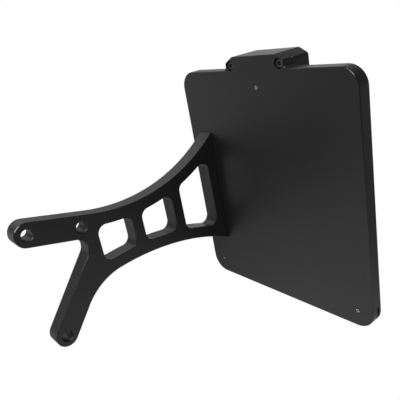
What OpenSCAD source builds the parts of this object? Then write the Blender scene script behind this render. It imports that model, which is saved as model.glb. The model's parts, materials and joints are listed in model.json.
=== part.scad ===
// Side mount number plate bracket.
// A milled side arm bolts to the left of the rear frame and carries a milled plate holder,
// which takes an upright number plate in a channel that is open at the bottom.
// A lamp housing behind the tab on the holder's top edge lights the plate from above.
// X points to the rear, Z points up. The origin is the centre of the front mounting bore,
// in the arm's inner face, which seats on the frame.

/* [Number plate] */
// Width of the number plate
plate_w = 180; // [150:1:220]
// Height of the number plate
plate_h = 200; // [170:1:220]
// Clearance round the number plate's edges
plate_clear = 0.5; // [0.3:0.1:1.5]

/* [Holder] */
// Wall outside the plate's side and top edges
edge_wall = 2.5; // [2:0.25:5]
// Margin below the number plate
bottom_margin = 2.25; // [1:0.25:8]
// Thickness of the holder's face wall
face_wall = 6; // [5:0.25:10]
// Depth of the channel that the plate slides in
channel_t = 2.6; // [1.5:0.1:4]
// Thickness of the lip behind the plate
lip_t = 2.8; // [1.5:0.1:5]
// Overlap of the lip on the plate
lip_w = 5.5; // [3:0.5:9]
// Radius of the holder's outer corners
holder_r = 15; // [10:0.5:22]
// Radius of the channel's upper corners
channel_r = 9; // [4:0.5:12]
// Chamfer round the holder's outer edges
holder_chamfer = 0.6; // [0.3:0.1:1.5]
// Height of the open sides at the channel's mouth
mouth_h = 18.3; // [8:0.5:30]
// Height of the slope above the open sides
mouth_slope_h = 4; // [2:0.5:10]

/* [Tab and lamp] */
// Width of the tab and the lamp housing
hood_w = 62; // [56:1:90]
// Height of the tab above the holder's top edge
hood_h = 10.7; // [10.5:0.1:16]
// Width of the slope on the tab's upper corners
hood_slope_w = 8.3; // [3:0.1:10]
// Height of the slope on the tab's upper corners
hood_slope_h = 4.7; // [2:0.1:4.8]
// Radius between the tab's slopes and sides
hood_corner_r = 2.5; // [1:0.25:2.5]
// Radius at the tab's foot
tab_foot_r = 4; // [1:0.25:4]
// Length of the lamp housing behind the holder
housing_l = 18.2; // [15:0.1:30]
// Drop of the lamp housing below the holder's top edge
housing_drop = 6; // [5:0.25:8]
// Length of the lamp's light opening
light_l = 40; // [30:1:42]
// Width of the lamp's light opening
light_w = 9; // [7:0.25:11]
// Roof above the circuit board
housing_roof = 5.2; // [4:0.1:6]
// Thickness of the lens
lens_t = 2; // [1.5:0.1:3]
// Rim of the lens beyond the long sides of the opening
lens_rim = 1.6; // [1:0.1:2]
// Ears of the lens beyond the ends of the opening
lens_ear = 4.5; // [4:0.1:6]
// Thickness of the seal above the lens
seal_t = 0.6; // [0.4:0.1:1]
// Thickness of the circuit board
board_t = 1.6; // [0.8:0.1:2]
// Side of each light-emitting diode
led_w = 3.5; // [2:0.1:5]
// Height of each light-emitting diode
led_h = 1.4; // [0.6:0.1:2]
// Distance between the diodes
led_pitch = 13; // [8:0.5:15]
// Bore of the cable grommet
cable_d = 2.6; // [2:0.1:3]
// Diameter of the hole for the cable grommet
cable_hole_d = 4.2; // [3.6:0.1:4.4]
// Distance of the cable grommet from the light chamber's left end
cable_inset = 5; // [4:0.5:10]

/* [Arm] */
// Thickness of the arm
arm_t = 15; // [12:0.5:20]
// Distance from the front bore to the holder's face
reach = 184.65; // [170:0.05:230]
// Height of the holder's top edge above the front bore
rise = 78.15; // [60:0.05:100]
// Overhang of the holder past the arm's inner face
overhang = 13.1; // [6:0.1:40]
// Width of the upper leg
upper_leg_w = 19.5; // [17:0.25:22]
// Angle of the upper leg
upper_leg_angle = -15.3; // [-20:0.1:-12]
// Width of the lower leg
lower_leg_w = 18.6; // [17:0.25:22]
// Angle of the lower leg
lower_leg_angle = 50.2; // [46:0.1:56]
// Lower bore's distance behind the front bore
lower_bore_x = 4.8; // [0:0.05:12]
// Lower bore's depth below the front bore
lower_bore_drop = 92.2; // [86:0.1:98]
// Distance between the front and middle bores
bore_pitch = 42.75; // [36:0.25:48]
// Diameter of the three mounting bores
bore_d = 9; // [6.6:0.1:11]
// Chamfer at the outer mouths of the mounting bores
bore_chamfer = 0.6; // [0.3:0.1:1.2]
// Radius of the arm's upper edge
top_arc_r = 150.5; // [140:0.5:170]
// Height of the arm's upper edge where it meets the holder
top_joint_z = 23.5; // [18:0.1:30]
// Radius of the arm's lower edge
base_arc_r = 222; // [205:0.5:240]
// Crest of the lower edge behind the front bore
crest_x = 80.3; // [76:0.1:86]
// Crest of the lower edge below the front bore
crest_drop = 58.3; // [55:0.1:62]
// Radius between the lower edge and the lower leg
blend_r = 51.4; // [45:0.1:58]
// Radius in the fork of the two legs
fork_r = 10.5; // [6:0.5:12]
// Width of the arm's edge beams
beam_w = 10.5; // [9:0.25:12]
// Width of the ribs between the windows
rib_w = 10.4; // [8:0.2:12]
// Width of the rib at the holder
end_rib_w = 10.8; // [10:0.2:16]
// Widths of the three windows, front to rear
window_w = [31.7, 32.4, 35.8]; // [28:0.1:38]
// Corner radius of the windows
window_r = 7.5; // [4:0.25:9]

/* [Fasteners] */
// Thread diameter of the lamp's cap screws
cap_d = 4; // [3:0.5:4]
// Length of the cap screws under the head
cap_l = 16; // [14:1:18]
// Depth of the counterbores for the cap screws
cap_sink = 5.2; // [4.5:0.1:7]
// Distance of the cap screws from the tab's ends
cap_inset = 4.8; // [4.8:0.1:6]
// Height of the cap screws above the holder's top edge
cap_rise = 3.7; // [3:0.1:4]
// Thread diameter of the plate's clamp screws
clamp_d = 3; // [2.5:0.5:4]
// Length of the clamp screws
clamp_l = 5; // [4:0.5:5]
// Depth of the clamp screws below the holder's face
clamp_sink = 0.4; // [0.2:0.1:0.8]
// Distance of the clamp screws from the holder's edges
clamp_inset = 14; // [12:0.5:20]
// Thread diameter of the arm's countersunk screws
sunk_d = 6; // [5:0.5:6]
// Length of the arm's countersunk screws
sunk_l = 14; // [12:0.5:14]
// Distance of the outer countersunk screws from the arm's upper and lower edges
sunk_inset = 14; // [12:0.5:18]
// Diameter of the dowels between arm and holder
dowel_d = 5; // [4:0.5:6]
// Length of the dowels
dowel_l = 11; // [9:0.5:12]
// Thread diameter of the lens screws
lens_screw_d = 2; // [1.6:0.1:2.2]
// Length of the lens screws
lens_screw_l = 5; // [4:0.5:6]
// Clearance of a thread or dowel in its hole, on the diameter
thread_clear = 0.1; // [0.05:0.05:0.2]
// Clearance of a seated part in its recess, on each side
seat_clear = 0.15; // [0.1:0.05:0.4]

/* [Hidden] */
$fn = 96;

anodised = [0.16, 0.16, 0.17];
black_steel = [0.1, 0.1, 0.1];
steel = [0.72, 0.72, 0.73];
board_green = [0.1, 0.35, 0.18];
lamp_white = [0.95, 0.94, 0.85];
clear_plastic = [0.8, 0.88, 0.92, 0.5];
rubber = [0.06, 0.06, 0.06];

// Cuts reach this far past the face they start from
past = 1;
// Larger than the whole bracket
far = 600;
// Chamfer at the ends of screws and dowels
screw_edge = 0.4;
// The arm's roundings are this much larger, so that they cross the edges they join
crossing = 0.02;

// Holder, in its own frame: across from the right edge, up from the bottom edge, back from the face
channel_w = plate_w + 2 * plate_clear;
holder_w = channel_w + 2 * edge_wall;
channel_top = bottom_margin + plate_h + plate_clear;
holder_h = channel_top + edge_wall;
holder_t = face_wall + channel_t + lip_t;
hood_x = holder_w / 2;
cap_spread = hood_w / 2 - cap_inset;
hood_slope_out = [hood_slope_h, hood_slope_w] / norm([hood_slope_h, hood_slope_w]);
hood_corner_centre = [
    hood_w / 2 - hood_corner_r,
    hood_h - hood_slope_h - hood_corner_r * tan((90 - atan(hood_slope_h / hood_slope_w)) / 2)
];

// Lamp
housing_floor = -housing_drop;
lens_floor = housing_floor + lens_t;
rebate_h = lens_t + seal_t;
light_roof = hood_h - housing_roof;
light_back = holder_t + housing_l / 2;
lens_l = light_l + 2 * lens_ear;
lens_w = light_w + 2 * lens_rim;
lens_screw_x = light_l / 2 + lens_ear / 2;
grommet_lip = 0.3;
grommet_rim = 1;
grommet_flange_t = 0.8;
cable_z = (housing_floor + rebate_h + light_roof - board_t) / 2;
chamber_wall = (housing_l - light_w) / 2;
led_dome_h = 0.3;
led_dome_d = 0.75 * led_w;

// Standard proportions of the fasteners
cap_head_d = 1.75 * cap_d;
cap_head_h = cap_d;
cap_key = 0.75 * cap_d;
cap_head_gap = 0.5;
cap_bore_d = cap_head_d + 2 * cap_head_gap;
cap_key_depth = cap_head_h / 2;
clamp_key = clamp_d / 2;
clamp_key_depth = 0.6 * clamp_d;
sunk_head_d = 2 * sunk_d;
sunk_key = 2 / 3 * sunk_d;
lens_head_d = 1.9 * lens_screw_d;
lens_head_h = 0.6 * lens_screw_d;
lens_key = 0.6 * lens_screw_d;
sunk_key_share = 0.7;

// Arm, in the plane of its face: behind the front bore and above it
front_bore = [0, 0];
lower_bore = [lower_bore_x, -lower_bore_drop];
upper_dir = [cos(upper_leg_angle), sin(upper_leg_angle)];
upper_up = [-upper_dir.y, upper_dir.x];
lower_dir = [cos(lower_leg_angle), sin(lower_leg_angle)];
lower_out = [lower_dir.y, -lower_dir.x];
middle_bore = front_bore + bore_pitch * upper_dir;

// Upper edge: straight along the leg, then one arc up to the holder
upper_start = front_bore + upper_leg_w / 2 * upper_up;
joint_top = [reach, top_joint_z];
joint_along = (joint_top - upper_start) * upper_dir;
joint_above = (joint_top - upper_start) * upper_up;
top_tangent = upper_start
    + (joint_along - sqrt(joint_above * (2 * top_arc_r - joint_above))) * upper_dir;
top_centre = top_tangent + top_arc_r * upper_up;

// Lower edge: straight up the leg, a blend, then one arc down to the holder
base_centre = [crest_x, -crest_drop - base_arc_r];
lower_start = lower_bore + lower_leg_w / 2 * lower_out;
base_along = (base_centre - lower_start) * lower_dir;
base_out = (base_centre - lower_start) * lower_out;
blend_along = base_along + sqrt(pow(base_arc_r - blend_r, 2) - pow(base_out - blend_r, 2));
leg_tangent = lower_start + blend_along * lower_dir;
blend_centre = leg_tangent + blend_r * lower_out;
blend_tangent = blend_centre + blend_r * unit(blend_centre - base_centre);
joint_base = [reach, base_centre.y + sqrt(pow(base_arc_r, 2) - pow(reach - base_centre.x, 2))];

// Fork of the legs
fork_centre = meet(front_bore - (upper_leg_w / 2 + fork_r) * upper_up, upper_dir,
    lower_bore - (lower_leg_w / 2 + fork_r) * lower_out, lower_dir);

// Windows, counted from the front
window_count = len(window_w);
window_end = [for (i = [0 : window_count - 1])
    reach - end_rib_w - sum_after(window_w, i) - (window_count - 1 - i) * rib_w];

// Screws and dowels between arm and holder, in the middle of the arm's thickness
upper_sunk_z = top_joint_z - sunk_inset;
lower_sunk_z = joint_base.y + sunk_inset;
middle_sunk_z = (upper_sunk_z + lower_sunk_z) / 2;
upper_dowel_z = (upper_sunk_z + middle_sunk_z) / 2;
lower_dowel_z = (lower_sunk_z + middle_sunk_z) / 2;

function unit(v) = v / norm(v);
function turn(v) = [-v.y, v.x];
// Where the line through p along u meets the line through q along v
function meet(p, u, q, v) = p + ((q - p) * turn(v)) / (u * turn(v)) * u;
// Sum of the items of a list after item i
function sum_after(list, i, j = 0) = j >= len(list) ? 0
    : (j > i ? list[j] : 0) + sum_after(list, i, j + 1);

// Places children that are drawn in the holder's own frame
module in_holder() {
    translate([reach, overhang - holder_w, rise - holder_h])
        rotate([90, 0, 90])
            children();
}

// Places children at a height on the joint between arm and holder, pointing to the rear
module at_joint(z) {
    translate([reach, -arm_t / 2, z])
        rotate([0, 90, 0])
            children();
}

// Places children in the lamp: along the housing from its middle, up from the holder's top edge
module in_lamp(u = 0, up = 0, back = light_back) {
    in_holder()
        translate([hood_x + u, holder_h + up, back])
            children();
}

module disc(centre, r) {
    translate(centre)
        circle(r);
}

// Rectangle from its own corner, with round corners
module round_rect(w, h, r) {
    translate([r, 0])
        square([w - 2 * r, h]);
    translate([0, r])
        square([w, h - 2 * r]);
    for (x = [r, w - r], y = [r, h - r])
        disc([x, y], r);
}

// Layer of a round-cornered slab that narrows by c over its height c, downwards
module chamfer_layer(w, h, r, c) {
    translate([0, h - r, 0])
        rotate([90, 0, 0])
            linear_extrude(h - 2 * r)
                polygon([[c, 0], [w - c, 0], [w, c], [0, c]]);
    translate([r, 0, 0])
        rotate([90, 0, 90])
            linear_extrude(w - 2 * r)
                polygon([[c, 0], [h - c, 0], [h, c], [0, c]]);
    for (x = [r, w - r], y = [r, h - r])
        translate([x, y, 0])
            cylinder(h = c, r1 = r - c, r2 = r);
}

// Cuts away the end of a leg outside a half round about its bore
module leg_end_cut(bore, angle, w) {
    translate(bore)
        rotate(angle)
            difference() {
                translate([-2 * w, -w])
                    square(2 * w);
                circle(w / 2 + crossing);
            }
}

// Outline with legs that reach past their bores, and the cuts that round it
module arm_outline() {
    difference() {
        polygon([
            front_bore + upper_leg_w * (upper_up / 2 - upper_dir), top_tangent,
            joint_top + [0, past], joint_base - [0, past], blend_tangent, leg_tangent,
            lower_bore + lower_leg_w * (lower_out / 2 - lower_dir),
            lower_bore - lower_leg_w * (lower_out / 2 + lower_dir),
            fork_centre + fork_r * lower_out, fork_centre, fork_centre + fork_r * upper_up,
            front_bore - upper_leg_w * (upper_up / 2 + upper_dir)
        ]);
        disc(top_centre, top_arc_r + crossing);
        disc(blend_centre, blend_r + crossing);
        disc(fork_centre, fork_r + crossing);
        intersection() {
            disc(base_centre, base_arc_r);
            translate([blend_tangent.x, -far])
                square(far);
        }
        leg_end_cut(front_bore, upper_leg_angle, upper_leg_w);
        leg_end_cut(lower_bore, lower_leg_angle, lower_leg_w);
    }
}

// Window between two upright edges and two arcs that run beside the arm's edges
module window_outline(x0, x1) {
    roof_r = top_arc_r + beam_w;
    floor_r = base_arc_r + beam_w;
    xs = [x0 + window_r, x1 - window_r];
    upper = [for (x = xs)
        [x, top_centre.y - sqrt(pow(roof_r + window_r, 2) - pow(x - top_centre.x, 2))]];
    lower = [for (x = xs)
        [x, base_centre.y + sqrt(pow(floor_r + window_r, 2) - pow(x - base_centre.x, 2))]];
    over = [for (c = upper) c + 2 * window_r * unit(top_centre - c)];
    under = [for (c = lower) c + 2 * window_r * unit(base_centre - c)];
    difference() {
        polygon([
            [x0, lower[0].y], [x0, upper[0].y], upper[0], over[0], over[1], upper[1],
            [x1, upper[1].y], [x1, lower[1].y], lower[1], under[1], under[0], lower[0]
        ]);
        disc(top_centre, roof_r);
        disc(base_centre, floor_r);
    }
    for (c = concat(upper, lower))
        disc(c, window_r + crossing);
}

// Bore through the arm with a chamfer at its outer mouth
module mounting_bore(centre) {
    translate([centre.x, past, centre.y])
        rotate([90, 0, 0]) {
            cylinder(h = arm_t + 2 * past, d = bore_d);
            translate([0, 0, arm_t + past - bore_chamfer])
                cylinder(h = past + bore_chamfer, d1 = bore_d, d2 = bore_d + 2 * (past + bore_chamfer));
        }
}

module arm() {
    color(anodised)
        difference() {
            rotate([90, 0, 0])
                linear_extrude(arm_t)
                    difference() {
                        arm_outline();
                        for (i = [0 : window_count - 1])
                            window_outline(window_end[i] - window_w[i], window_end[i]);
                    }
            for (bore = [front_bore, middle_bore, lower_bore])
                mounting_bore(bore);
            for (z = [upper_sunk_z, middle_sunk_z, lower_sunk_z])
                at_joint(z)
                    translate([0, 0, face_wall - sunk_l - past])
                        cylinder(h = sunk_l + past, d = sunk_d + thread_clear);
            for (z = [upper_dowel_z, lower_dowel_z])
                at_joint(z)
                    translate([0, 0, -dowel_l / 2 - thread_clear])
                        cylinder(h = dowel_l, d = dowel_d + thread_clear);
        }
}

// Outline of the tab above the holder's top edge, down to a given drop below it
module hood_outline(drop) {
    half = hood_w / 2;
    translate([hood_x, holder_h])
        difference() {
            polygon([
                [-half, -drop], [half, -drop], [half, hood_h - hood_slope_h],
                [half - hood_slope_w, hood_h], [hood_slope_w - half, hood_h],
                [-half, hood_h - hood_slope_h]
            ]);
            for (side = [0, 1])
                mirror([side, 0])
                    hood_corner_cut();
        }
}

// What the rounding takes off the corner between a slope and a side
module hood_corner_cut() {
    reach_out = 2 * hood_corner_r;
    difference() {
        polygon([
            hood_corner_centre, hood_corner_centre + [reach_out, 0], hood_corner_centre + reach_out * hood_slope_out
        ]);
        disc(hood_corner_centre, hood_corner_r + crossing);
    }
}

// Round foot on one side of the tab
module tab_foot() {
    translate([hood_w / 2, 0])
        difference() {
            translate([-past, -past])
                square(tab_foot_r + past);
            disc([tab_foot_r, tab_foot_r], tab_foot_r);
        }
}

module channel_outline() {
    translate([edge_wall, 0]) {
        translate([0, -channel_r])
            square([channel_w, channel_top]);
        translate([channel_r, 0])
            square([channel_w - 2 * channel_r, channel_top]);
        for (x = [channel_r, channel_w - channel_r])
            disc([x, channel_top - channel_r], channel_r);
    }
    // Open sides at the mouth
    polygon([
        [-past, -past], [holder_w + past, -past], [holder_w + past, mouth_h],
        [holder_w, mouth_h], [holder_w - edge_wall, mouth_h + mouth_slope_h],
        [edge_wall, mouth_h + mouth_slope_h], [0, mouth_h], [-past, mouth_h]
    ]);
}

module plate_holder() {
    edge = edge_wall + lip_w;
    color(anodised)
        difference() {
            in_holder()
                difference() {
                    union() {
                        chamfer_layer(holder_w, holder_h, holder_r, holder_chamfer);
                        translate([0, 0, holder_chamfer])
                            linear_extrude(holder_t - 2 * holder_chamfer)
                                round_rect(holder_w, holder_h, holder_r);
                        translate([0, 0, holder_t])
                            mirror([0, 0, 1])
                                chamfer_layer(holder_w, holder_h, holder_r, holder_chamfer);
                        linear_extrude(holder_t) {
                            hood_outline(edge_wall);
                            translate([hood_x, holder_h])
                                for (side = [0, 1])
                                    mirror([side, 0])
                                        tab_foot();
                        }
                    }
                    translate([0, 0, face_wall])
                        linear_extrude(channel_t)
                            channel_outline();
                    translate([edge, -holder_r, face_wall])
                        linear_extrude(channel_t + lip_t + past)
                            round_rect(holder_w - 2 * edge, holder_h - edge + holder_r, channel_r);
                    for (side = [-1, 1])
                        translate([hood_x + side * cap_spread, holder_h + cap_rise, -past]) {
                            cylinder(h = past + cap_sink, d = cap_bore_d);
                            cylinder(h = holder_t + 2 * past, d = cap_d + thread_clear);
                        }
                    for (place = [
                        [clamp_inset, clamp_inset], [holder_w - clamp_inset, clamp_inset],
                        [hood_x, holder_h - clamp_inset]
                    ])
                        translate([place.x, place.y, -past])
                            cylinder(h = face_wall + 2 * past, d = clamp_d + thread_clear);
                }
            for (z = [upper_sunk_z, middle_sunk_z, lower_sunk_z])
                at_joint(z) {
                    translate([0, 0, -past])
                        cylinder(h = face_wall + 2 * past, d = sunk_d + thread_clear);
                    translate([0, 0, face_wall - sunk_d / 2 - thread_clear])
                        cylinder(h = sunk_d / 2 + thread_clear, d1 = sunk_d,
                            d2 = sunk_head_d + 2 * thread_clear);
                }
            for (z = [upper_dowel_z, lower_dowel_z])
                at_joint(z)
                    translate([0, 0, -past])
                        cylinder(h = dowel_l / 2 + thread_clear + past, d = dowel_d + thread_clear);
        }
}

module lamp_housing() {
    color(anodised)
        difference() {
            in_holder()
                translate([0, 0, holder_t])
                    linear_extrude(housing_l)
                        hood_outline(housing_drop);
            // Light chamber, open downwards
            in_lamp(-light_l / 2, housing_floor - past, light_back - light_w / 2)
                cube([light_l, light_roof - housing_floor + past, light_w]);
            // Rebate for the seal and the lens
            in_lamp(-lens_l / 2 - seat_clear, housing_floor - past, light_back - lens_w / 2 - seat_clear)
                cube([lens_l + 2 * seat_clear, rebate_h + past, lens_w + 2 * seat_clear]);
            for (side = [-1, 1]) {
                in_lamp(side * lens_screw_x, housing_floor + lens_screw_l + screw_edge)
                    rotate([90, 0, 0])
                        cylinder(h = lens_screw_l + screw_edge, d = lens_screw_d + thread_clear);
                in_lamp(side * cap_spread, cap_rise, holder_t - past)
                    cylinder(h = cap_sink + cap_l - holder_t + 2 * past, d = cap_d + thread_clear);
            }
            // Cable outlet at the back
            in_lamp(light_l / 2 - cable_inset, cable_z, light_back + light_w / 2 - past)
                cylinder(h = chamber_wall + 2 * past, d = cable_hole_d);
        }
}

module led_board() {
    color(board_green)
        in_lamp(-light_l / 2 + seat_clear, light_roof - board_t, light_back - light_w / 2 + seat_clear)
            cube([light_l - 2 * seat_clear, board_t, light_w - 2 * seat_clear]);
}

// One diode: a square base with a round window
module led(place) {
    color(lamp_white)
        in_lamp(place * led_pitch, light_roof - board_t - led_h)
            translate([-led_w / 2, 0, -led_w / 2])
                difference() {
                    cube([led_w, led_h, led_w]);
                    translate([led_w / 2, -past, led_w / 2])
                        rotate([-90, 0, 0])
                            cylinder(h = past + led_dome_h, d = led_dome_d);
                }
}

module lens_screw_holes() {
    for (side = [-1, 1])
        translate([side * lens_screw_x, 0, 0])
            rotate([-90, 0, 0])
                cylinder(h = rebate_h + 2 * past, d = lens_screw_d + thread_clear);
}

module lens_seal() {
    color(rubber)
        in_lamp(0, lens_floor)
            difference() {
                translate([-lens_l / 2, 0, -lens_w / 2])
                    cube([lens_l, seal_t, lens_w]);
                translate([-light_l / 2, -past, -light_w / 2])
                    cube([light_l, seal_t + 2 * past, light_w]);
                translate([0, -past, 0])
                    lens_screw_holes();
            }
}

module lamp_lens() {
    color(clear_plastic)
        in_lamp(0, housing_floor)
            difference() {
                translate([-lens_l / 2, 0, -lens_w / 2])
                    cube([lens_l, lens_t, lens_w]);
                translate([0, -past, 0])
                    lens_screw_holes();
                for (side = [-1, 1])
                    translate([side * lens_screw_x, 0, 0])
                        rotate([-90, 0, 0])
                            cylinder(h = lens_head_h, d1 = lens_head_d, d2 = lens_screw_d);
            }
}

// Hexagonal key socket that goes down from the origin
module key_socket(across, depth) {
    translate([0, 0, -depth])
        cylinder(h = depth + past, d = across / cos(30), $fn = 6);
}

// Countersunk screw with its head's face at the origin, pointing down
module sunk_screw(d, l, head_d, head_h, key) {
    difference() {
        union() {
            translate([0, 0, -head_h])
                cylinder(h = head_h, d1 = d, d2 = head_d);
            translate([0, 0, -l])
                cylinder(h = l, d = d);
        }
        key_socket(key, sunk_key_share * head_h);
    }
}

module lens_screw(side) {
    color(steel)
        in_lamp(side * lens_screw_x, housing_floor)
            rotate([90, 0, 0])
                sunk_screw(lens_screw_d, lens_screw_l, lens_head_d, lens_head_h, lens_key);
}

// Rubber grommet with a flange inside and outside the housing's rear wall
module cable_grommet() {
    groove_r = cable_hole_d / 2;
    color(rubber)
        in_lamp(light_l / 2 - cable_inset, cable_z, light_back + light_w / 2)
            rotate_extrude()
                polygon([
                    [cable_d / 2, -grommet_flange_t], [groove_r + grommet_lip, -grommet_flange_t],
                    [groove_r + grommet_lip, 0], [groove_r, 0], [groove_r, chamber_wall],
                    [groove_r + grommet_rim, chamber_wall],
                    [groove_r + grommet_rim / 2, chamber_wall + grommet_flange_t],
                    [cable_d / 2, chamber_wall + grommet_flange_t]
                ]);
}

// Socket cap screw with the seat of its head at the origin, pointing up into the work
module cap_screw() {
    difference() {
        union() {
            rotate_extrude()
                polygon([
                    [0, 0], [cap_head_d / 2, 0], [cap_head_d / 2, screw_edge - cap_head_h],
                    [cap_head_d / 2 - screw_edge, -cap_head_h], [0, -cap_head_h]
                ]);
            cylinder(h = cap_l - screw_edge, d = cap_d);
            translate([0, 0, cap_l - screw_edge])
                cylinder(h = screw_edge, d1 = cap_d, d2 = cap_d - 2 * screw_edge);
        }
        translate([0, 0, -cap_head_h])
            mirror([0, 0, 1])
                key_socket(cap_key, cap_key_depth);
    }
}

module lamp_screw(side) {
    color(black_steel)
        in_lamp(side * cap_spread, cap_rise, cap_sink)
            cap_screw();
}

// Set screw that clamps the number plate, with its socket just below the holder's face
module clamp_screw(x, y) {
    color(steel)
        in_holder()
            translate([x, y, clamp_sink])
                difference() {
                    union() {
                        cylinder(h = clamp_l - screw_edge, d = clamp_d);
                        translate([0, 0, clamp_l - screw_edge])
                            cylinder(h = screw_edge, d1 = clamp_d, d2 = clamp_d - 2 * screw_edge);
                    }
                    mirror([0, 0, 1])
                        key_socket(clamp_key, clamp_key_depth);
                }
}

module arm_screw(z) {
    color(black_steel)
        at_joint(z)
            translate([0, 0, face_wall])
                sunk_screw(sunk_d, sunk_l, sunk_head_d, sunk_d / 2, sunk_key);
}

module dowel(z) {
    color(steel)
        at_joint(z)
            translate([0, 0, -dowel_l / 2])
                rotate_extrude()
                    polygon([
                        [0, 0], [dowel_d / 2 - screw_edge, 0], [dowel_d / 2, screw_edge],
                        [dowel_d / 2, dowel_l - screw_edge], [dowel_d / 2 - screw_edge, dowel_l],
                        [0, dowel_l]
                    ]);
}

arm();
plate_holder();
lamp_housing();
led_board();
led(1);  // led_left
led(0);  // led_middle
led(-1);  // led_right
lens_seal();
lamp_lens();
lens_screw(1);  // lens_screw_left
lens_screw(-1);  // lens_screw_right
cable_grommet();
lamp_screw(1);  // lamp_screw_left
lamp_screw(-1);  // lamp_screw_right
clamp_screw(hood_x, holder_h - clamp_inset);  // clamp_screw_top
clamp_screw(holder_w - clamp_inset, clamp_inset);  // clamp_screw_left
clamp_screw(clamp_inset, clamp_inset);  // clamp_screw_right
arm_screw(upper_sunk_z);  // arm_screw_upper
arm_screw(middle_sunk_z);  // arm_screw_middle
arm_screw(lower_sunk_z);  // arm_screw_lower
dowel(upper_dowel_z);  // dowel_upper
dowel(lower_dowel_z);  // dowel_lower
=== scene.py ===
import json
import math

import bmesh
import bpy
from mathutils import Matrix, Vector

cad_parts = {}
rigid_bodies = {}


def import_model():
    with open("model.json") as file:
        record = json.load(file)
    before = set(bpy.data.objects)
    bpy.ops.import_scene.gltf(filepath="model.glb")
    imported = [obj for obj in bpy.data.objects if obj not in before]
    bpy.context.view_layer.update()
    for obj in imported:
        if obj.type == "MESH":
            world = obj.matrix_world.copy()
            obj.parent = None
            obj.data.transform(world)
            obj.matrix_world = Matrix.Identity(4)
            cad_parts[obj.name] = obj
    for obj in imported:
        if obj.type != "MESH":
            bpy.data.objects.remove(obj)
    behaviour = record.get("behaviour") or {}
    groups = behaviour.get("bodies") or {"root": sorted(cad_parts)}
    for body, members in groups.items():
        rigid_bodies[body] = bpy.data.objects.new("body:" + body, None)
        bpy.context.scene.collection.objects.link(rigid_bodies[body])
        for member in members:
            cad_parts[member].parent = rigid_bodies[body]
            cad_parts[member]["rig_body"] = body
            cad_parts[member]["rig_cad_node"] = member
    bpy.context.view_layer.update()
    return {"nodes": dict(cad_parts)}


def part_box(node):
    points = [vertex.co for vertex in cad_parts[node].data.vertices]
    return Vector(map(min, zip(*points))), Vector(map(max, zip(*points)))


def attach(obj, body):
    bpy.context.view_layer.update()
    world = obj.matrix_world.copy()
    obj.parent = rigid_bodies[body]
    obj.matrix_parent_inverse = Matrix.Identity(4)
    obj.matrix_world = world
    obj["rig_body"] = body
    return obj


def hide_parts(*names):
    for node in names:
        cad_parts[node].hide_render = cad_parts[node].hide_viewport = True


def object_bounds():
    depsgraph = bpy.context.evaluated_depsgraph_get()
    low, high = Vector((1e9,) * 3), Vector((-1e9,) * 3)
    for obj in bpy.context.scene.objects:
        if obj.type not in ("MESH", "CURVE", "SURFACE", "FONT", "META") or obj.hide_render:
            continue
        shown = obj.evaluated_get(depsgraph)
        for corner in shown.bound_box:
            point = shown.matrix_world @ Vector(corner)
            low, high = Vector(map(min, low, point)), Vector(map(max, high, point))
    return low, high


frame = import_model()

# Millimetres to the scene's metres
MM = 0.001

# A copied solid: vertices this close are merged, and faces this flat to each other, in degrees
MERGE_WITHIN = 0.001 * MM
FLAT_WITHIN = 0.4

# Faces that meet at less than this many degrees are shaded as one
SMOOTH_BELOW = 24
DOME_SMOOTH_BELOW = 40

# Widths of the broken edges
MILLED_EDGES = {"arm": 0.5 * MM, "plate_holder": 0.15 * MM, "lamp_housing": 0.3 * MM}
BLACK_SCREW_EDGE = 0.12 * MM
CLAMP_SCREW_EDGE = 0.2 * MM
LENS_SCREW_EDGE = 0.08 * MM
DOWEL_EDGE = 0.1 * MM
RUBBER_EDGES = {"cable_grommet": 0.25 * MM, "lens_seal": 0.08 * MM}
LENS_EDGE = 0.2 * MM
BOARD_EDGE = 0.06 * MM
DIODE_EDGE = 0.15 * MM

# The holder's own narrow chamfers: how far their normals lean along x, and their greatest area
SLANT = (0.6, 0.8)
SMALL_FACE = 160 * MM * MM

# Centres of the arm's mounting bores in x and z, the radius that holds a bore's edges, and how
# much of the arm's broken edge they get
BORES = ((0, 0), (0.0412, -0.0113), (0.0048, -0.0922))
BORE_REACH = 6 * MM
BORE_SHARE = 0.2

# Dome of a diode: its radius over the diode's width, how far above the diode's underside the ball
# is cut off, and its height over a ball's
DOME_RADIUS = 0.35
DOME_CUT = 0.28 * MM
DOME_FLATNESS = 0.45

# Camera of the photograph: place, then azimuth, elevation and roll in degrees
CAMERA_PLACE = Vector((-88.95, -356.16, 127.85)) * MM
CAMERA_ANGLES = (-35.908, 20.999, -10.932)
FOCAL_PIXELS = 485.664
PICTURE_PIXELS = 400
SENSOR_WIDTH = 36

# The point that the lamps face
PART_CENTRE = (0.12, -0.08, -0.02)

# The floor: its size, its centre and how far below the part it lies
FLOOR_SIZE = 12
FLOOR_CENTRE = (-0.2, -0.12)
FLOOR_DROP = 0.25

# Painted light on the floor, seen only in the part's gloss. Pools are round and fade between two
# radii: centre, inner radius, outer radius and strength
PAINTED_LIGHT_POOLS = (
    ((0, 0), 0.47, 1.05, 0.76),
    ((-0.15, 0.38), 0.05, 0.3, 0.2),
    ((1.7, 0.9), 0.5, 1.4, 0.5),
    ((3.1, -2.1), 0.5, 2.6, 0.32),
)
# Painted shade in the floor's gloss: a painted shadow pool near the part, and a dimmer far corner
PAINTED_SHADE_POOLS = (((0.09, 0.54), 0.02, 0.32, 0.9), ((-1.5, -2.4), 0.8, 1.6, 0.18))

# Painted light in that gloss, brightening the floor towards its far side: from this y to that y,
# and the strength at each
PAINTED_FAR_LIGHT = (0.12, 2.6, 0.2, 1)

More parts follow.
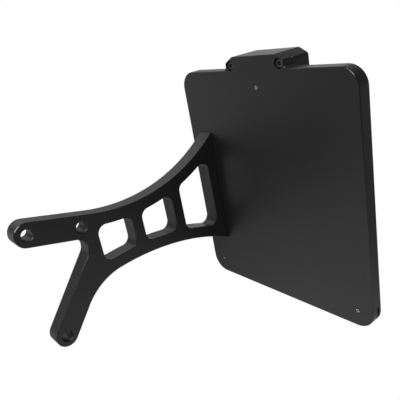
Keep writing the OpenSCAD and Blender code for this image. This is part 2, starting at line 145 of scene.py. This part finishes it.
# How bright the room is in the part's gloss. A direction, the cosines to it between which the
# strength changes, and the strengths at those
BACKDROP = (0.88, 0.466, -0.1)
CEILING = (0, 0.8, 0.6)
LEFT_WALL = (-0.75, 0.66, 0.05)
DARK_CORNER = (0.82, -0.405, 0.405)
ROOM = (
    (BACKDROP, -0.2, 0.5, 0.05, 0.32),
    (BACKDROP, 0.78, 1, 0, 1),
    (CEILING, 0.75, 1, 0, 0.5),
    (LEFT_WALL, 0.85, 1, 0, 0.4),
    (DARK_CORNER, 0.86, 0.97, 0, -0.22),
)


class Wire:
    """A socket of a node tree, with the maths on it written as an expression."""

    def __init__(self, tree, socket):
        self.tree = tree
        self.socket = socket

    def node(self, kind, settings=None, inputs=None, output=0):
        """Adds a node with its settings, then gives its sockets their values or links."""
        added = self.tree.nodes.new(kind)
        for name, value in (settings or {}).items():
            setattr(added, name, value)
        for name, value in (inputs or {}).items():
            if isinstance(value, Wire):
                self.tree.links.new(value.socket, added.inputs[name])
            else:
                added.inputs[name].default_value = value
        return Wire(self.tree, added.outputs[output]) if added.outputs else added

    def maths(self, operation, first, second=0.0):
        return self.node("ShaderNodeMath", {"operation": operation}, {0: first, 1: second})

    def vector_maths(self, operation, first, second):
        """A number worked out from two vectors."""
        return self.node(
            "ShaderNodeVectorMath", {"operation": operation}, {0: first, 1: second}, "Value"
        )

    def __add__(self, other):
        return self.maths("ADD", self, other)

    __radd__ = __add__

    def __sub__(self, other):
        return self.maths("SUBTRACT", self, other)

    def __rsub__(self, other):
        return self.maths("SUBTRACT", other, self)

    def __mul__(self, other):
        return self.maths("MULTIPLY", self, other)

    __rmul__ = __mul__

    def __truediv__(self, other):
        return self.maths("DIVIDE", self, other)

    def __gt__(self, other):
        return self.maths("GREATER_THAN", self, other)

    def ramp(self, value, start, end, first, last):
        """Goes smoothly from first to last while the value goes from start to end."""
        return self.node(
            "ShaderNodeMapRange",
            {"interpolation_type": "SMOOTHSTEP"},
            {"Value": value, "From Min": start, "From Max": end, "To Min": first, "To Max": last},
        )

    def rays(self, *kinds):
        """1 for the rays of these kinds and 0 for the others."""
        path = self.node("ShaderNodeLightPath").socket.node
        return sum(Wire(self.tree, path.outputs[kind]) for kind in kinds)


class Finish(Wire):
    """A material with a principled shader, and the object coordinates that its pattern reads."""

    def __init__(self, name, **sockets):
        self.material = bpy.data.materials.new(name)
        self.material.use_nodes = True
        super().__init__(self.material.node_tree, None)
        self.tree.nodes.clear()
        shader = self.node("ShaderNodeBsdfPrincipled")
        self.shader = shader.socket.node
        self.output = self.node("ShaderNodeOutputMaterial", None, {"Surface": shader})
        self.place = self.node("ShaderNodeTexCoord", None, None, "Object")
        for socket, value in sockets.items():
            self.shader.inputs[socket.replace("_", " ")].default_value = value

    def feed(self, **sockets):
        """Links patterns to the shader's sockets."""
        for socket, value in sockets.items():
            self.tree.links.new(value.socket, self.shader.inputs[socket.replace("_", " ")])

    def noise(self, size, detail=3.0, roughness=0.5):
        """Noise from 0 to 1 with features of the given size in metres."""
        return self.node(
            "ShaderNodeTexNoise",
            {"noise_dimensions": "3D"},
            {"Vector": self.place, "Scale": 1 / size, "Detail": detail, "Roughness": roughness},
            "Fac",
        )

    def along(self, axis):
        """The place along one axis."""
        return self.node("ShaderNodeSeparateXYZ", None, {0: self.place}, axis)

    def between(self, factor, first, second):
        """Colour from first at 0 to second at 1."""
        return self.node(
            "ShaderNodeMix",
            {"data_type": "RGBA"},
            {0: factor, 6: (*first, 1), 7: (*second, 1)},
            2,
        )

    def bumps(self, height, depth):
        """Feeds the normal with a bump of the given depth in metres."""
        bump = self.node(
            "ShaderNodeBump", None, {"Height": height, "Distance": depth, "Strength": 1.0}
        )
        self.feed(Normal=bump)


def anodised_finish():
    """Black anodised aluminium over a fine blasted surface, smoother on its worked edges."""
    finish = Finish("anodised_black", IOR=1.5, Specular_IOR_Level=0.4)
    cloud = finish.noise(38 * MM, 2.0)
    grain = finish.noise(0.35 * MM, 4.0, 0.6)
    speck = finish.noise(1.6 * MM, 2.0)
    edge = finish.node("ShaderNodeAttribute", {"attribute_name": "worked_edge"}, None, "Fac")
    finish.feed(
        Base_Color=finish.between(cloud, (0.0065, 0.0065, 0.0070), (0.0095, 0.0093, 0.0093)),
        Roughness=(0.36 + 0.07 * cloud + 0.05 * speck) * (1 - 0.45 * edge),
    )
    finish.bumps(grain, 0.006 * MM)
    return finish.material


def oxide_finish():
    """Black oxide on the steel of the cap screws and countersunk screws."""
    finish = Finish("black_oxide_steel", Metallic=1.0)
    stain = finish.noise(1.2 * MM, 4.0, 0.6)
    finish.feed(
        Base_Color=finish.between(stain, (0.062, 0.061, 0.060), (0.105, 0.103, 0.100)),
        Roughness=0.30 + 0.22 * stain,
    )
    finish.bumps(finish.noise(0.25 * MM), 0.004 * MM)
    return finish.material


def stainless_finish():
    """Bare stainless steel of the lens screws and dowels."""
    finish = Finish("stainless_steel", Metallic=1.0)
    turned = finish.noise(0.6 * MM)
    finish.feed(
        Base_Color=finish.between(turned, (0.48, 0.48, 0.47), (0.66, 0.65, 0.63)),
        Roughness=0.20 + 0.15 * turned,
    )
    return finish.material


def plain_steel_finish():
    """Oiled plain steel of the clamp screws, a little darker than stainless steel."""
    finish = Finish("plain_steel", Metallic=1.0)
    oil = finish.noise(0.9 * MM)
    finish.feed(
        Base_Color=finish.between(oil, (0.42, 0.42, 0.41), (0.56, 0.555, 0.545)),
        Roughness=0.18 + 0.10 * oil,
    )
    return finish.material


def rubber_finish():
    """Moulded black rubber of the seal and the grommet."""
    finish = Finish("moulded_rubber", IOR=1.48)
    bloom = finish.noise(2.5 * MM, 4.0)
    finish.feed(
        Base_Color=finish.between(bloom, (0.016, 0.016, 0.017), (0.030, 0.030, 0.030)),
        Roughness=0.62 + 0.20 * bloom,
    )
    finish.bumps(finish.noise(0.4 * MM), 0.01 * MM)
    return finish.material


def board_finish():
    """Green solder mask, raised and lighter over copper tracks at an even pitch along x."""
    track_pitch = 2.2 * MM
    gap_share = 0.62
    finish = Finish("solder_mask", IOR=1.52)
    track = finish.maths("FRACT", finish.along("X") / track_pitch) > gap_share
    finish.feed(
        Base_Color=finish.between(track, (0.010, 0.085, 0.032), (0.022, 0.150, 0.055)),
        Roughness=0.28 + 0.10 * finish.noise(1.0 * MM),
    )
    finish.bumps(track, 0.02 * MM)
    return finish.material


def diode_finish():
    """White moulded body of the light-emitting diodes."""
    finish = Finish("diode_body", IOR=1.5)
    mottle = finish.noise(0.5 * MM)
    finish.feed(
        Base_Color=finish.between(mottle, (0.78, 0.78, 0.74), (0.86, 0.86, 0.83)),
        Roughness=0.38 + 0.1 * mottle,
    )
    return finish.material


def phosphor_finish():
    """Yellow phosphor under the clear coat of a diode's dome."""
    finish = Finish("diode_phosphor", IOR=1.5, Coat_Weight=1.0, Coat_Roughness=0.05)
    mottle = finish.noise(0.3 * MM)
    finish.feed(
        Base_Color=finish.between(mottle, (0.72, 0.56, 0.08), (0.86, 0.70, 0.16)),
        Roughness=0.45 + 0.1 * mottle,
    )
    return finish.material


def lens_finish():
    """Clear polycarbonate of the lamp's lens."""
    finish = Finish("clear_lens", IOR=1.58, Transmission_Weight=1.0)
    haze = finish.noise(6 * MM)
    finish.feed(
        Base_Color=finish.between(haze, (0.93, 0.96, 0.97), (0.97, 0.98, 0.99)),
        Roughness=0.03 + 0.05 * haze,
    )
    return finish.material


def floor_finish():
    """Pale floor: plain white to the camera and through the lens; in the part's gloss it glows with
    painted pools of light and shade.
    """
    finish = Finish("pale_floor", IOR=1.4)
    tone = finish.noise(0.4, 2.0)
    finish.feed(
        Base_Color=finish.between(tone, (0.86, 0.86, 0.86), (0.88, 0.88, 0.88)),
        Roughness=0.8 + 0.1 * tone,
    )

    def painted_pool(centre, inner, outer, strength):
        """A round pool of painted light on the floor, in the part's gloss, fading out from inner to
        outer.
        """
        distance = finish.vector_maths("DISTANCE", finish.place, (*centre, 0))
        return finish.ramp(distance, inner, outer, strength, 0)

    painted_light = sum(painted_pool(*each) for each in PAINTED_LIGHT_POOLS)
    painted_shade = sum(painted_pool(*each) for each in PAINTED_SHADE_POOLS)
    painted_far_light = finish.ramp(finish.along("Y"), *PAINTED_FAR_LIGHT)
    glossy = finish.rays("Is Glossy Ray")
    # In the gloss the floor glows with painted light, less the painted shade
    strength = 1 - glossy + glossy * (painted_light + painted_far_light - painted_shade)
    white = finish.node("ShaderNodeEmission", None, {"Color": (1, 1, 1, 1), "Strength": strength})
    lit = Wire(finish.tree, finish.shader.outputs[0])
    seen = finish.rays("Is Camera Ray", "Is Glossy Ray", "Is Transmission Ray")
    mixed = finish.node("ShaderNodeMixShader", None, {0: seen, 1: lit, 2: white})
    finish.tree.links.new(mixed.socket, finish.output.inputs["Surface"])
    return finish.material


def only(piece):
    """Makes a piece the one that operators act on."""
    bpy.ops.object.select_all(action="DESELECT")
    piece.select_set(True)
    bpy.context.view_layer.objects.active = piece


def settle(piece, name, material, nodes=()):
    """Names a finished piece, gives it its finish and puts it on the part."""
    piece.name = name
    piece.data.name = name
    piece.data.materials.clear()
    piece.data.materials.append(material)
    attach(piece, "root")
    if nodes:
        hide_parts(*nodes)


def machined_copy(node):
    """A copy of a solid with its triangles merged into flat faces, ready to have its edges worked."""
    only(frame["nodes"][node])
    bpy.ops.object.duplicate()
    piece = bpy.context.active_object
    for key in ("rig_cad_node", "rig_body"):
        if key in piece:
            del piece[key]
    piece.parent = None
    piece.matrix_world = Matrix.Identity(4)
    bpy.ops.object.mode_set(mode="EDIT")
    bpy.ops.mesh.select_all(action="SELECT")
    bpy.ops.mesh.remove_doubles(threshold=MERGE_WITHIN)
    bpy.ops.mesh.dissolve_limited(angle_limit=math.radians(FLAT_WITHIN))
    bpy.ops.object.mode_set(mode="OBJECT")
    return piece


def share_edges(piece, sharper_than, lighter):
    """Gives each edge that is sharper than an angle its share of the broken edge's width."""
    mesh = bmesh.new()
    mesh.from_mesh(piece.data)
    share_of = mesh.edges.layers.float.new("bevel_weight_edge")
    for edge in mesh.edges:
        if edge.calc_face_angle(0) > math.radians(sharper_than):
            edge[share_of] = 1
            for centre, radius, share in lighter:
                if all(math.dist((v.co.x, v.co.z), centre) < radius for v in edge.verts):
                    edge[share_of] = share
    mesh.to_mesh(piece.data)
    mesh.free()


def break_edges(piece, width, steps=3, sharper_than=35, lighter=(), slants=False):
    """Breaks the edges that are sharper than an angle, as deburring does, and marks the new faces.

    lighter lists places (centre in x and z, radius, share) whose edges get a share of the width.
    slants also marks the narrow slanted faces that the solid has already.
    """
    only(piece)
    share_edges(piece, sharper_than, lighter)
    piece.data.materials.clear()
    for _ in range(2):
        piece.data.materials.append(None)
    bevel = piece.modifiers.new("edges", "BEVEL")
    bevel.width = width
    bevel.segments = steps
    bevel.limit_method = "WEIGHT"
    bevel.material = 1
    bevel.use_clamp_overlap = False
    bpy.ops.object.modifier_apply(modifier=bevel.name)
    worked = piece.data.attributes.new("worked_edge", "FLOAT", "FACE")
    for face in piece.data.polygons:
        slanted = slants and SLANT[0] < abs(face.normal.x) < SLANT[1] and face.area < SMALL_FACE
        worked.data[face.index].value = max(face.material_index, slanted)
    bpy.ops.object.shade_smooth_by_angle(angle=math.radians(SMOOTH_BELOW))
    weighted = piece.modifiers.new("shading", "WEIGHTED_NORMAL")
    weighted.keep_sharp = True
    weighted.weight = 80
    bpy.ops.object.modifier_apply(modifier=weighted.name)


def mill_the_aluminium():
    """Arm, plate holder and lamp housing."""
    anodised = anodised_finish()
    bore_edges = [(centre, BORE_REACH, BORE_SHARE) for centre in BORES]
    for node, width in MILLED_EDGES.items():
        piece = machined_copy(node)
        lighter = bore_edges if node == "arm" else ()
        break_edges(piece, width, 1, lighter=lighter, slants=node == "plate_holder")
        settle(piece, node + "_milled", anodised, [node])


def turn_the_black_screws():
    """Cap screws of the lamp and countersunk screws of the arm."""
    black_oxide = oxide_finish()
    for node in (
        "lamp_screw_left",
        "lamp_screw_right",
        "arm_screw_upper",
        "arm_screw_middle",
        "arm_screw_lower",
    ):
        piece = machined_copy(node)
        break_edges(piece, BLACK_SCREW_EDGE, 2)
        settle(piece, node + "_turned", black_oxide, [node])


def make_the_bare_steel():
    """Clamp screws, lens screws and dowels."""
    plain_steel = plain_steel_finish()
    stainless = stainless_finish()
    for node, finish, width in (
        ("clamp_screw_top", plain_steel, CLAMP_SCREW_EDGE),
        ("clamp_screw_left", plain_steel, CLAMP_SCREW_EDGE),
        ("clamp_screw_right", plain_steel, CLAMP_SCREW_EDGE),
        ("lens_screw_left", stainless, LENS_SCREW_EDGE),
        ("lens_screw_right", stainless, LENS_SCREW_EDGE),
    ):
        piece = machined_copy(node)
        break_edges(piece, width)
        settle(piece, node + "_turned", finish, [node])
    for node in ("dowel_upper", "dowel_lower"):
        piece = machined_copy(node)
        break_edges(piece, DOWEL_EDGE, 2, sharper_than=30)
        settle(piece, node + "_ground", stainless, [node])


def mould_the_rubber():
    """Grommet of the cable and seal of the lens."""
    rubber = rubber_finish()
    for node, width in RUBBER_EDGES.items():
        piece = machined_copy(node)
        break_edges(piece, width)
        settle(piece, node + "_moulded", rubber, [node])


def mould_the_lens():
    """Lens that closes the lamp underneath."""
    piece = machined_copy("lamp_lens")
    break_edges(piece, LENS_EDGE)
    settle(piece, "lamp_lens_moulded", lens_finish(), ["lamp_lens"])


def dome_over(node):
    """The dome on a diode's underside: a ball whose upper part is cut off, pressed flatter."""
    low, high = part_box(node)
    centre = (low + high) / 2
    bpy.ops.object.select_all(action="DESELECT")
    bpy.ops.mesh.primitive_uv_sphere_add(
        segments=24,
        ring_count=12,
        radius=DOME_RADIUS * (high.x - low.x),
        location=(centre.x, centre.y, low.z),
    )
    dome = bpy.context.active_object
    bpy.ops.object.mode_set(mode="EDIT")
    bpy.ops.mesh.select_all(action="SELECT")
    bpy.ops.mesh.bisect(
        plane_co=(centre.x, centre.y, low.z + DOME_CUT),
        plane_no=(0, 0, 1),
        use_fill=True,
        clear_outer=True,
    )
    bpy.ops.object.mode_set(mode="OBJECT")
    dome.scale.z = DOME_FLATNESS
    only(dome)
    bpy.ops.object.transform_apply(location=True, rotation=True, scale=True)
    bpy.ops.object.shade_smooth_by_angle(angle=math.radians(DOME_SMOOTH_BELOW))
    return dome


def build_the_light():
    """Board of the lamp and its diodes, each with its dome."""
    board = machined_copy("led_board")
    break_edges(board, BOARD_EDGE, 1)
    settle(board, "led_board_etched", board_finish(), ["led_board"])
    diode = diode_finish()
    phosphor = phosphor_finish()
    for node in ("led_left", "led_middle", "led_right"):
        body = machined_copy(node)
        break_edges(body, DIODE_EDGE, 2)
        settle(body, node + "_body", diode, [node])
        settle(dome_over(node), node + "_dome", phosphor)


def place_the_camera():
    """Camera as fitted to the photograph."""
    azimuth, elevation, roll = map(math.radians, CAMERA_ANGLES)
    back = Vector(
        (
            math.sin(azimuth) * math.cos(elevation),
            -math.cos(azimuth) * math.cos(elevation),
            math.sin(elevation),
        )
    )
    level = Vector((math.cos(azimuth), math.sin(azimuth), 0))
    upright = back.cross(level)
    right = math.cos(roll) * level + math.sin(roll) * upright
    up = math.cos(roll) * upright - math.sin(roll) * level
    bpy.ops.object.camera_add(location=CAMERA_PLACE)
    camera = bpy.context.active_object
    camera.rotation_mode = "QUATERNION"
    camera.rotation_quaternion = Matrix((right, up, back)).transposed().to_quaternion()
    camera.data.sensor_width = SENSOR_WIDTH
    camera.data.lens = SENSOR_WIDTH * FOCAL_PIXELS / PICTURE_PIXELS
    camera.data.clip_start = 0.01
    camera.data.clip_end = 50
    bpy.context.scene.camera = camera


def area_light(name, place, size, power):
    """A flat lamp that faces the part."""
    bpy.ops.object.light_add(type="AREA", location=place)
    lamp = bpy.context.active_object
    lamp.name = name
    lamp.data.shape = "RECTANGLE"
    lamp.data.size, lamp.data.size_y = size
    lamp.data.energy = power
    direction = Vector(PART_CENTRE) - Vector(place)
    lamp.rotation_mode = "QUATERNION"
    lamp.rotation_quaternion = direction.to_track_quat("-Z", "Y")
    return lamp


def strip_light(name, start, end, width, power):
    """A long lamp from start to end that faces the part."""
    start, end = Vector(start), Vector(end)
    middle = (start + end) / 2
    lamp = area_light(name, middle, ((end - start).length, width), power)
    along = (end - start).normalized()
    away = middle - Vector(PART_CENTRE)
    away = (away - away.project(along)).normalized()
    lamp.rotation_quaternion = Matrix((along, away.cross(along), away)).transposed().to_quaternion()


def hang_the_lamps():
    """A soft lamp overhead, and two strips that give the chamfers their glints."""
    area_light("overhead_softbox", place=(0.3, 0.8, 1.3), size=(1.6, 1.6), power=3.5)
    strip_light(
        "key_strip", start=(-0.5, -0.68, 1.28), end=(-1.18, -0.58, 0.74), width=0.2, power=15
    )
    strip_light("top_strip", start=(-0.4, -0.12, 1.44), end=(-0.5, -0.6, 1.3), width=0.14, power=6)


def lay_the_floor():
    """Pale floor below the part."""
    low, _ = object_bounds()
    bpy.ops.mesh.primitive_plane_add(size=FLOOR_SIZE, location=(*FLOOR_CENTRE, low.z - FLOOR_DROP))
    floor = bpy.context.active_object
    floor.name = "floor"
    floor.data.materials.append(floor_finish())


def light_the_room():
    """Room around the part: white to the camera and through the lens, uneven in the gloss."""
    world = bpy.context.scene.world or bpy.data.worlds.new("studio")
    bpy.context.scene.world = world
    world.use_nodes = True
    world.node_tree.nodes.clear()
    air = Wire(world.node_tree, None)
    direction = air.node("ShaderNodeTexCoord", None, None, "Generated")
    room = sum(
        air.ramp(air.vector_maths("DOT_PRODUCT", direction, aim), *change) for aim, *change in ROOM
    )
    white = air.rays("Is Camera Ray", "Is Transmission Ray")
    strength = room * (1 - white) + white
    backdrop = air.node("ShaderNodeBackground", None, {"Color": (1, 1, 1, 1), "Strength": strength})
    air.node("ShaderNodeOutputWorld", None, {"Surface": backdrop})


mill_the_aluminium()
turn_the_black_screws()
make_the_bare_steel()
mould_the_rubber()
mould_the_lens()
build_the_light()
place_the_camera()
hang_the_lamps()
lay_the_floor()
light_the_room()
bpy.context.scene.view_settings.view_transform = "Standard"
